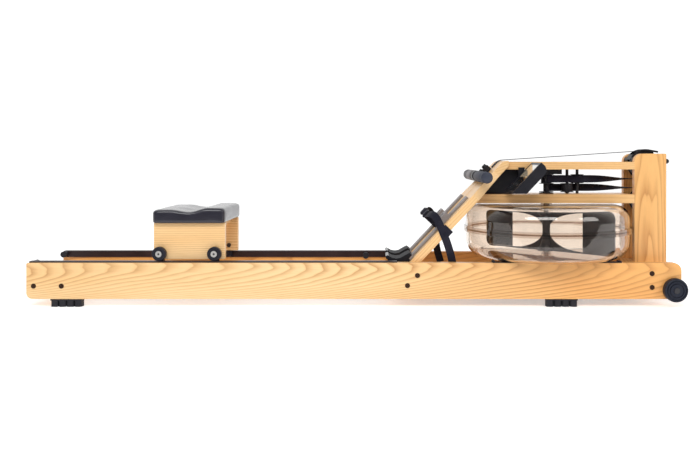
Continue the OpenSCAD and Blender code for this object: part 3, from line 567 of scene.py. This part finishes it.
def strap(name, path, widths, width, thick):
    """Webbing along a path, its width along the direction given at each point; its edges are
    rounded and its ends are closed."""
    half, edge = width / 2, thick / 2
    rows, inset = 10, edge * 0.7
    across = [-half + inset + (width - 2 * inset) * i / rows for i in range(rows + 1)]
    section = [(-half, 0)] + [(v, edge) for v in across]
    section += [(half, 0)] + [(v, -edge) for v in reversed(across)]
    ring = len(section)
    points, lengths = [], along(path)
    for i, p in enumerate(path):
        tangent = (path[min(i + 1, len(path) - 1)] - path[max(i - 1, 0)]).normalized()
        side = widths[i].normalized()
        side = (side - tangent * side.dot(tangent)).normalized()
        out = tangent.cross(side)
        points += [p + side * a + out * b for a, b in section]
    faces, uvs = [], []
    for i in range(len(path) - 1):
        for k in range(ring):
            j = (k + 1) % ring
            faces.append((ring * i + k, ring * i + j, ring * (i + 1) + j, ring * (i + 1) + k))
            va, vb = section[k][0] + half, section[j][0] + half
            uvs += [(lengths[i], va), (lengths[i], vb), (lengths[i + 1], vb),
                    (lengths[i + 1], va)]
    last = ring * (len(path) - 1)
    faces.append(tuple(range(ring - 1, -1, -1)))
    uvs += [(0.0, section[k][0] + half) for k in range(ring - 1, -1, -1)]
    faces.append(tuple(range(last, last + ring)))
    uvs += [(lengths[-1], section[k][0] + half) for k in range(ring)]
    piece = new_piece(name, points, faces, uvs)
    return piece


def rounded_block(name, size, centre, turn, radius):
    """A black plastic box with rounded edges, turned about Y."""
    mesh = bmesh.new()
    bmesh.ops.create_cube(mesh, size=1)
    bmesh.ops.scale(mesh, vec=size, verts=mesh.verts)
    bmesh.ops.bevel(mesh, geom=mesh.edges[:], offset=radius, segments=3, profile=0.5,
                    affect="EDGES")
    matrix = Matrix.Translation(centre) @ Matrix.Rotation(turn, 4, "Y")
    bmesh.ops.transform(mesh, matrix=matrix, verts=mesh.verts)
    piece = add_mesh(name, mesh, BLACK)
    piece.data.shade_smooth()
    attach(piece, "frame")


# ---------- the seat pad ----------

def seat_height(x, y):
    """How far the pad's top lies under its highest point, at x and y from -1 to 1."""
    rear, dip, front = 5.5, 12.5, 0.0
    t = min(1.0, max(0.0, (x + 0.55) / 1.1))
    if t < 0.5:
        k = 2 * t
        base = rear + (dip - rear) * k * k * (3 - 2 * k)
    else:
        k = 2 * t - 1
        base = dip + (front - dip) * k * k * (3 - 2 * k)
    # two shallow hollows, one on each side of a low ridge
    hollow = 2.5 * math.exp(-((abs(y) - 0.42) / 0.3) ** 2 - ((x - 0.02) / 0.5) ** 2)
    return (base + hollow) * MM


PAD_PLAN_R = 15 * MM      # corners seen from above
PAD_TOP_R = 9 * MM        # edge round the top
PAD_BASE_R = 3 * MM       # edge round the underside
PAD_GRID = 47             # cuts across each side of the block
PAD_PUFF = 1.6 * MM       # the most that the cloth simulation may move a point
PAD_VOXEL = 4.5 * MM      # and the size of the cells of its skin
PAD_STEPS = 20            # and its length in frames
PAD_MARGIN = 0.9          # share of the half size beyond which the edges are rounded


def pad_point(x, y, z, half):
    """Where the point x, y, z of a cube from -1 to 1 lies on the pad, from its middle."""
    p = Vector((x * half.x, y * half.y, z * half.z))
    core = Vector((max(-half.x + PAD_PLAN_R, min(half.x - PAD_PLAN_R, p.x)),
                   max(-half.y + PAD_PLAN_R, min(half.y - PAD_PLAN_R, p.y)), p.z))
    out = p - core
    if out.length > PAD_PLAN_R:
        p = core + out.normalized() * PAD_PLAN_R
    rounding = PAD_TOP_R if p.z > 0 else PAD_BASE_R
    inset = max(0.0, abs(p.z) - (half.z - rounding))
    if inset > 0 and max(abs(x), abs(y)) > PAD_MARGIN:
        bend = rounding - math.sqrt(max(0.0, rounding ** 2 - inset ** 2))
        reach = Vector((p.x, p.y, 0)).length
        p = Vector((p.x * (1 - bend / reach), p.y * (1 - bend / reach), p.z))
    share = (p.z + half.z) / (2 * half.z)
    p.z -= seat_height(x, y) * share ** 1.5
    return p


def seat_pad():
    """The contoured cushion, in place of the plain CAD pad."""
    lo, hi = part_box("seat_pad")
    centre, half = (lo + hi) / 2, (hi - lo) / 2
    mesh = bmesh.new()
    bmesh.ops.create_cube(mesh, size=2)
    bmesh.ops.subdivide_edges(mesh, edges=mesh.edges[:], cuts=PAD_GRID, use_grid_fill=True)
    for vertex in mesh.verts:
        vertex.co = pad_point(*vertex.co, half) + centre
    pad = add_mesh("seat_cushion", mesh)
    puff(pad, PAD_PUFF, lo.z)
    pad.data.materials.clear()
    pad.data.materials.append(VINYL)
    pad.data.shade_smooth()
    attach(pad, "seat")
    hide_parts("seat_pad")


def puff(piece, cap, floor):
    """Blows the skin up a little by cloth simulation, and keeps its underside flat."""
    remesh = piece.modifiers.new("voxels", "REMESH")
    remesh.mode = "VOXEL"
    remesh.voxel_size = PAD_VOXEL
    apply_modifiers(piece)
    rest = [v.co.copy() for v in piece.data.vertices]
    cloth = piece.modifiers.new("cloth", "CLOTH")
    cloth.settings.use_pressure = True
    cloth.settings.uniform_pressure_force = 4
    cloth.settings.effector_weights.gravity = 0
    cloth.settings.tension_stiffness = 30
    scene = bpy.context.scene
    for step in range(1, PAD_STEPS + 1):
        scene.frame_set(step)
    apply_modifiers(piece)
    scene.frame_set(1)
    for vertex, start in zip(piece.data.vertices, rest):
        move = vertex.co - start
        if move.length > cap:
            move = move.normalized() * cap
        vertex.co = start + move
        vertex.co.z = max(floor, vertex.co.z)
        if start.z < floor + PAD_BASE_R:
            vertex.co.z = start.z
    soften = piece.modifiers.new("soften", "SMOOTH")
    soften.factor = 0.5
    soften.iterations = 4
    fine = piece.modifiers.new("fine", "SUBSURF")
    fine.levels = 1
    fine.render_levels = 1
    apply_modifiers(piece)


def apply_modifiers(piece):
    """The piece's mesh becomes what its modifiers make of it."""
    graph = bpy.context.evaluated_depsgraph_get()
    graph.update()
    made = bpy.data.meshes.new_from_object(piece.evaluated_get(graph))
    piece.modifiers.clear()
    piece.data = made


# ---------- the straps ----------

STRAP_W = 25 * MM
STRAP_T = 2 * MM
TOP_R = 47 * MM           # middle line of the belt on each pulley
LOWER_R = 42 * MM
FRONT_R = 22 * MM
DRIVE_DRUM_R = 19.3 * MM  # and on each drum
RECOIL_DRUM_R = 11.3 * MM
BOBBIN_R = 20.3 * MM
NOSE_R = 32 * MM          # the footboard's rounded top
NOSE_GAP = 3 * MM         # from the board to the middle line of the belt
BELT_START = 417 * MM     # the handle's bracket, up the board
TWIST_X = 0.93            # where the belts leave the pulleys and begin to turn on edge
CORD_BACK = 78 * MM       # from the tank's middle to the join of belt and cord


def arc(centre, radius, start, end, count):
    """Points on an arc about an axis along Y, angles in degrees from +X towards +Z."""
    made = []
    for i in range(count + 1):
        a = math.radians(start + (end - start) * i / count)
        made.append(Vector((centre[0] + radius * math.cos(a), 0,
                            centre[2] + radius * math.sin(a))))
    return made


def ease(t):
    """A smooth step from 0 to 1."""
    t = min(1.0, max(0.0, t))
    return t * t * (3 - 2 * t)


def twist(start, end, y_end, z, count=40):
    """Points and width directions of a strap that turns from lying flat to standing on edge."""
    path, widths = [], []
    for i in range(1, count + 1):
        t = i / count
        path.append(Vector((start + (end - start) * t, y_end * ease(t), z)))
        a = QUARTER * ease(t)
        widths.append(Vector((0, math.cos(a), math.sin(a))))
    return path, widths


def joint_place(name):
    return Vector(JOINTS[name]["pos_m"])


def drive_belt():
    """From the handle over the board and the top pulley to the upper drum."""
    top, bobbin = joint_place("top_pulley_turn"), joint_place("bobbin_upper_turn")
    flat_z = top.z - TOP_R
    nose_z = high("footboard").z - NOSE_R
    nose_s = (nose_z + NOSE_R * FACE.z - BOARD.z) / SLOPE.z
    nose = BOARD + SLOPE * nose_s - FACE * NOSE_R
    reach = Vector((top.x - nose.x, 0, top.z - nose.z))
    leave = math.degrees(math.atan2(reach.z, reach.x)
                         + math.asin((TOP_R - NOSE_R - NOSE_GAP) / reach.length)) + 90
    start, rise = on_board(BELT_START, NOSE_GAP), nose_s - BELT_START
    path = [start + SLOPE * rise * i / 14 for i in range(14)]
    path += arc(nose, NOSE_R + NOSE_GAP, math.degrees(SLOPE_ANGLE) + 90, leave, 10)
    run_end = arc(top, TOP_R, leave, -90, 36)
    crest, landing = path[-1], run_end[0]
    path += [crest.lerp(landing, i / 40) for i in range(1, 40)]
    path += run_end + [Vector((TWIST_X, 0, flat_z))]
    widths = [Vector((0, 1, 0))] * len(path)
    turned, ways = twist(TWIST_X, bobbin.x + 4 * MM, -BOBBIN_R, flat_z)
    path += turned
    widths += ways
    tail = [Vector((bobbin.x - 4 * MM, -BOBBIN_R, flat_z)),
            Vector((TANK_X + 3 * MM, -DRIVE_DRUM_R, flat_z)),
            Vector((TANK_X - 2 * MM, -DRIVE_DRUM_R, flat_z))]
    path += tail
    widths += [Vector((0, 0, 1))] * len(tail)
    drive = strap("drive_belt", path, widths, STRAP_W, STRAP_T)
    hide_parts("drive_strap")
    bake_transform(drive)


def recoil_belt():
    """From the cord round the front and lower pulleys to the lower drum."""
    front, lower = joint_place("front_pulley_turn"), joint_place("lower_pulley_turn")
    upper_bobbin = joint_place("bobbin_upper_turn")
    bobbin = joint_place("bobbin_lower_turn")
    back_z = lower.z + LOWER_R
    path = [Vector((TANK_X - CORD_BACK, 0, front.z - FRONT_R)),
            Vector((TANK_X + 100 * MM, 0, front.z - FRONT_R))]
    path += arc(front, FRONT_R, -90, 0, 12) + arc(lower, LOWER_R, 0, 90, 16)
    path.append(Vector((TWIST_X, 0, back_z)))
    widths = [Vector((0, 1, 0))] * len(path)
    turned, ways = twist(TWIST_X, upper_bobbin.x + 4 * MM, BOBBIN_R, back_z)
    path += turned
    widths += ways
    tail = [Vector((bobbin.x, BOBBIN_R, back_z)),
            Vector((bobbin.x - 6 * MM, BOBBIN_R, back_z)),
            Vector((TANK_X + 3 * MM, RECOIL_DRUM_R, back_z)),
            Vector((TANK_X - 2 * MM, RECOIL_DRUM_R, back_z))]
    path += tail
    widths += [Vector((0, 0, 1))] * len(tail)
    recoil = strap("recoil_belt", path, widths, STRAP_W, STRAP_T)
    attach(recoil, "frame")
    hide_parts("recoil_strap")


# the foot strap on the board, as (up the slope, out of the face, across), in millimetres
FOOT_STRAP = [
    (151, 1.3, -26), (151, 16, -27), (151, 32, -30), (151, 46, -37), (151, 55, -48),
    (151, 59, -62), (153, 59, -78), (158, 57, -95), (163, 53, -110), (166, 44, -122),
    (164, 31, -131), (158, 16, -136), (151, -1, -137.2)]
# below the board's edge, as (drop, across)
FOOT_STRAP_DROP = [
    (17, -137.3), (30, -137.2), (45, -137), (60, -136.4), (80, -135.5), (100, -133.7),
    (120, -132.9), (141, -132.9)]
# the folded end over the buckle, as in FOOT_STRAP
FOLDED_END = [
    (152, 66, -74), (152, 68, -62), (152, 67, -50), (152.5, 60, -38), (153, 50, -29),
    (153, 40, -23), (153, 32, -20)]
# how far forward each strap leans while it drops: first and second order
LEAN = {"left": (0.45, -0.0011), "right": (-0.06, 0.0014)}


STRAP_S = 151 * MM        # where the strap crosses the board's edge
BOARD_GRADE = SLOPE.z / SLOPE.x
TIP_S = 157.7 * MM        # the loose end, up the board and across it
TIP_Y = -137.35 * MM
TIP_DROP = 34             # and how far it hangs, in millimetres


def strap_route(side):
    """Points along the foot strap of one side, and its width direction at each of them."""
    points = [on_board(s * MM, n * MM, y * MM) for s, n, y in FOOT_STRAP]
    ways = [SLOPE] * len(points)
    first, second = LEAN[side]
    edge = on_board(STRAP_S, 0)
    for drop, across in FOOT_STRAP_DROP:
        lean = first * drop + second * drop * drop
        points.append(Vector((edge.x + lean * MM, across * MM, edge.z - drop * MM)))
        turn = ease(drop / 45)
        tilt = BOARD_GRADE * (1 - turn) + (first + 2 * second * drop) * turn
        ways.append(Vector((1, 0, tilt)))
    return points, ways


def spread_ways(points, ways, path):
    """Width directions along a fine path, read between those at its coarse points."""
    coarse, fine = along(points), along(path)
    made = []
    for place in fine:
        share = place / fine[-1] * coarse[-1]
        k = max(i for i, value in enumerate(coarse) if value <= share + 1e-9)
        k = min(k, len(coarse) - 2)
        t = (share - coarse[k]) / (coarse[k + 1] - coarse[k])
        made.append(ways[k].lerp(ways[k + 1], min(1.0, t)))
    return made


def foot_strap(side):
    """The strap over one foot, its loose end under the board's edge, and its buckle."""
    sign = 1 if side == "left" else -1
    points, ways = strap_route(side)
    path = smooth_path(points, 4 * MM)
    widths = spread_ways(points, ways, path)
    if sign < 0:
        path = [Vector((p.x, -p.y, p.z)) for p in path]
        widths = [Vector((w.x, -w.y, w.z)) for w in widths]
    piece = strap(f"foot_webbing_{side}", path, widths, STRAP_W, STRAP_T)
    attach(piece, "frame")
    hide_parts(f"foot_strap_{side}")
    loose = [on_board(TIP_S, n * MM, TIP_Y * sign) for n in range(-TIP_DROP, 1, 2)]
    tip = strap(f"strap_tip_{side}", loose, [SLOPE] * len(loose), 23.4 * MM, 1.8 * MM)
    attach(tip, "frame")
    buckle(side, sign)


def buckle(side, sign):
    """The sliding buckle on top of the foot strap and the folded end that leaves it."""
    y = -62 * MM * sign
    centre = on_board(152 * MM, 62.5 * MM, y)
    rounded_block(f"strap_buckle_{side}", (31 * MM, 24 * MM, 5 * MM), centre,
                  -SLOPE_ANGLE, 1.6 * MM)
    points = [on_board(s * MM, n * MM, v * MM * sign) for s, n, v in FOLDED_END]
    path = smooth_path(points, 4 * MM)
    end = strap(f"strap_end_{side}", path, [SLOPE] * len(path), STRAP_W * 0.96, STRAP_T)
    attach(end, "frame")


# ---------- the stretched cord ----------

CORD_R = 4 * MM


def stretched_cord():
    """The elastic cord from the recoil belt to the cleat under the board, and their clamp."""
    front = joint_place("front_pulley_turn")
    start = Vector((TANK_X - CORD_BACK, 0, front.z - FRONT_R))
    end = on_board(-50 * MM, -45.5 * MM)
    way = (end - start).normalized()
    side = Vector((0, 1, 0))
    up = way.cross(side)
    points, faces, uvs = [], [], []
    ring, steps = 20, 60
    length = (end - start).length
    for i in range(steps + 1):
        p = start.lerp(end, i / steps)
        for k in range(ring):
            a = 2 * math.pi * k / ring
            points.append(p + (side * math.cos(a) + up * math.sin(a)) * CORD_R)
    for i in range(steps):
        for k in range(ring):
            j = (k + 1) % ring
            faces.append((ring * i + k, ring * i + j, ring * (i + 1) + j, ring * (i + 1) + k))
            for row, column in ((i, k), (i, k + 1), (i + 1, k + 1), (i + 1, k)):
                uvs.append((row * length / steps, column * 25 * MM / ring))
    faces.append(tuple(range(ring - 1, -1, -1)))
    uvs += [(0, 0)] * ring
    faces.append(tuple(range(ring * steps, ring * steps + ring)))
    uvs += [(0, 0)] * ring
    cord = new_piece("stretched_cord", points, faces, uvs)
    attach(cord, "frame")
    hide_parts("bungee_cord")
    rounded_block("cord_clamp", (25 * MM, 28 * MM, 10 * MM),
                  start + Vector((-13.5 * MM, 0, 0)), 0.0, 2 * MM)


# ---------- floor, light and camera ----------

def floor():
    """A pale plane that ends in front of the machine, so that it throws no light on its front."""
    mesh = bmesh.new()
    bmesh.ops.create_grid(mesh, x_segments=1, y_segments=1, size=14)
    bmesh.ops.translate(mesh, vec=(0, 12.4, 0), verts=mesh.verts)
    pale = Shader("floor_pale", Base_Color=grey(0.9), Roughness=0.9,
                  Emission_Color=grey(1.0), Emission_Strength=0.4)
    add_mesh("floor", mesh, pale.material)


def studio_world():
    """White behind the machine and dim on the camera's side."""
    world = bpy.data.worlds.new("studio")
    world.use_nodes = True
    tree = world.node_tree
    background = tree.nodes["Background"]
    background.inputs["Color"].default_value = grey(1.0)
    direction = tree.nodes.new("ShaderNodeTexCoord")
    axes = tree.nodes.new("ShaderNodeSeparateXYZ")
    strength = tree.nodes.new("ShaderNodeMapRange")
    tree.links.new(direction.outputs["Generated"], axes.inputs[0])
    tree.links.new(axes.outputs["Y"], strength.inputs["Value"])
    for key, value in {"From Min": -0.25, "From Max": 0.3, "To Min": 0.3, "To Max": 1.08}.items():
        strength.inputs[key].default_value = value
    tree.links.new(strength.outputs[0], background.inputs["Strength"])
    bpy.context.scene.world = world


def softbox(name, place, target, size, power):
    """A rectangular lamp at a place, turned to its target."""
    lamp = bpy.data.lights.new(name, "AREA")
    lamp.shape = "RECTANGLE"
    lamp.size, lamp.size_y = size
    lamp.energy = power
    box = add_object(name, lamp)
    box.location = place
    box.rotation_euler = (Vector(target) - Vector(place)).to_track_quat("-Z", "Y").to_euler()


def stage():
    """Floor, world and lamps, and plain colours."""
    floor()
    studio_world()
    softbox("key", (-0.5, -3.0, 2.7), (0, 0, 0.2), (2.8, 1.4), 88)
    softbox("fill", (3.6, -2.4, 2.2), (0.4, 0, 0.2), (1.8, 1.8), 46)
    bpy.context.scene.view_settings.view_transform = "Standard"


CAMERA_PLACE = (0.060, -2.6836, 0.475)
SENSOR_MM = 36
FOCAL_MM = 40.885714
SHIFT = (-0.0357143, -0.0992857)   # in widths of the picture


def camera():
    """Level, along +Y, with the picture shifted as the photograph is cropped."""
    lens = bpy.data.cameras.new("camera")
    lens.sensor_width = SENSOR_MM
    lens.lens = FOCAL_MM
    lens.shift_x, lens.shift_y = SHIFT
    lens.clip_end = 60
    eye = add_object("camera", lens)
    eye.location = CAMERA_PLACE
    eye.rotation_euler = (QUARTER, 0, 0)
    bpy.context.scene.camera = eye


camera()
finish_nodes()
ease_edges()
seat_pad()
drive_belt()
recoil_belt()
for side in ("left", "right"):
    foot_strap(side)
stretched_cord()
stage()
